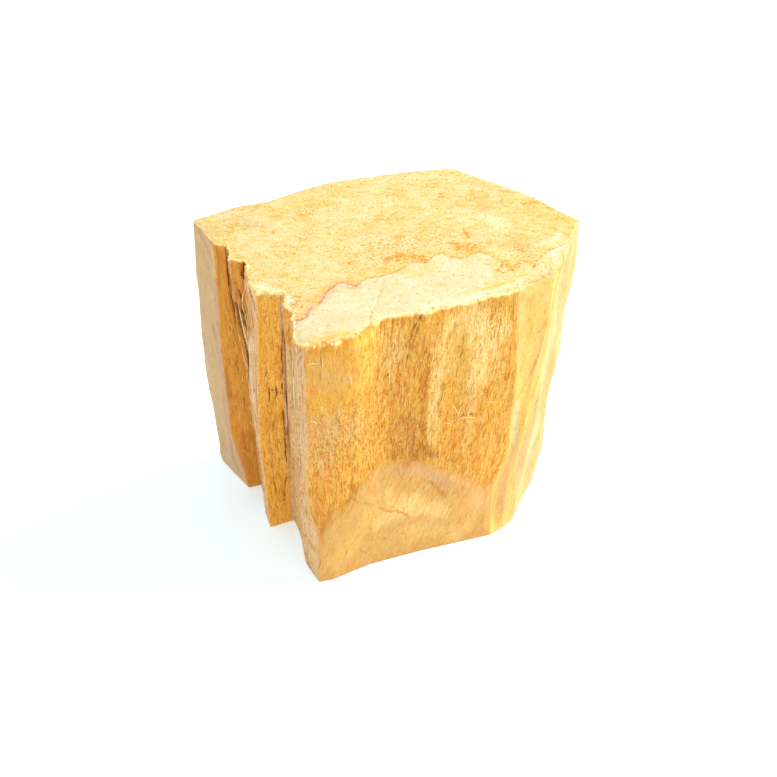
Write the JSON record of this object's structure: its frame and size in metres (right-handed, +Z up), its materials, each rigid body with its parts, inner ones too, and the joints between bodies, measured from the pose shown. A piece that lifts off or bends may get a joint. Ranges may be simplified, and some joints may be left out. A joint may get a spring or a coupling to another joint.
{
  "type": "palo santo wood block",
  "caption": "Short, thick block of palo santo wood, sawn across at both ends, split along the grain at the front and left and hewn elsewhere, for cutting into sticks or burning as incense.",
  "frame": {"origin": "centre of the bounding box's footprint, on the plane of the sawn foot", "axes": "+Z up along the grain to the sawn top, +X to the right across the split front, which faces -Y"},
  "size_m": [0.1074, 0.0772, 0.092],
  "materials": {
    "palo_santo_wood": "raw, oily golden-orange heartwood with pale cream end grain, split and hewn, matt"
  },
  "bodies": {
    "root": {"wood_block": "palo_santo_wood"}
  },
  "joints": []
}
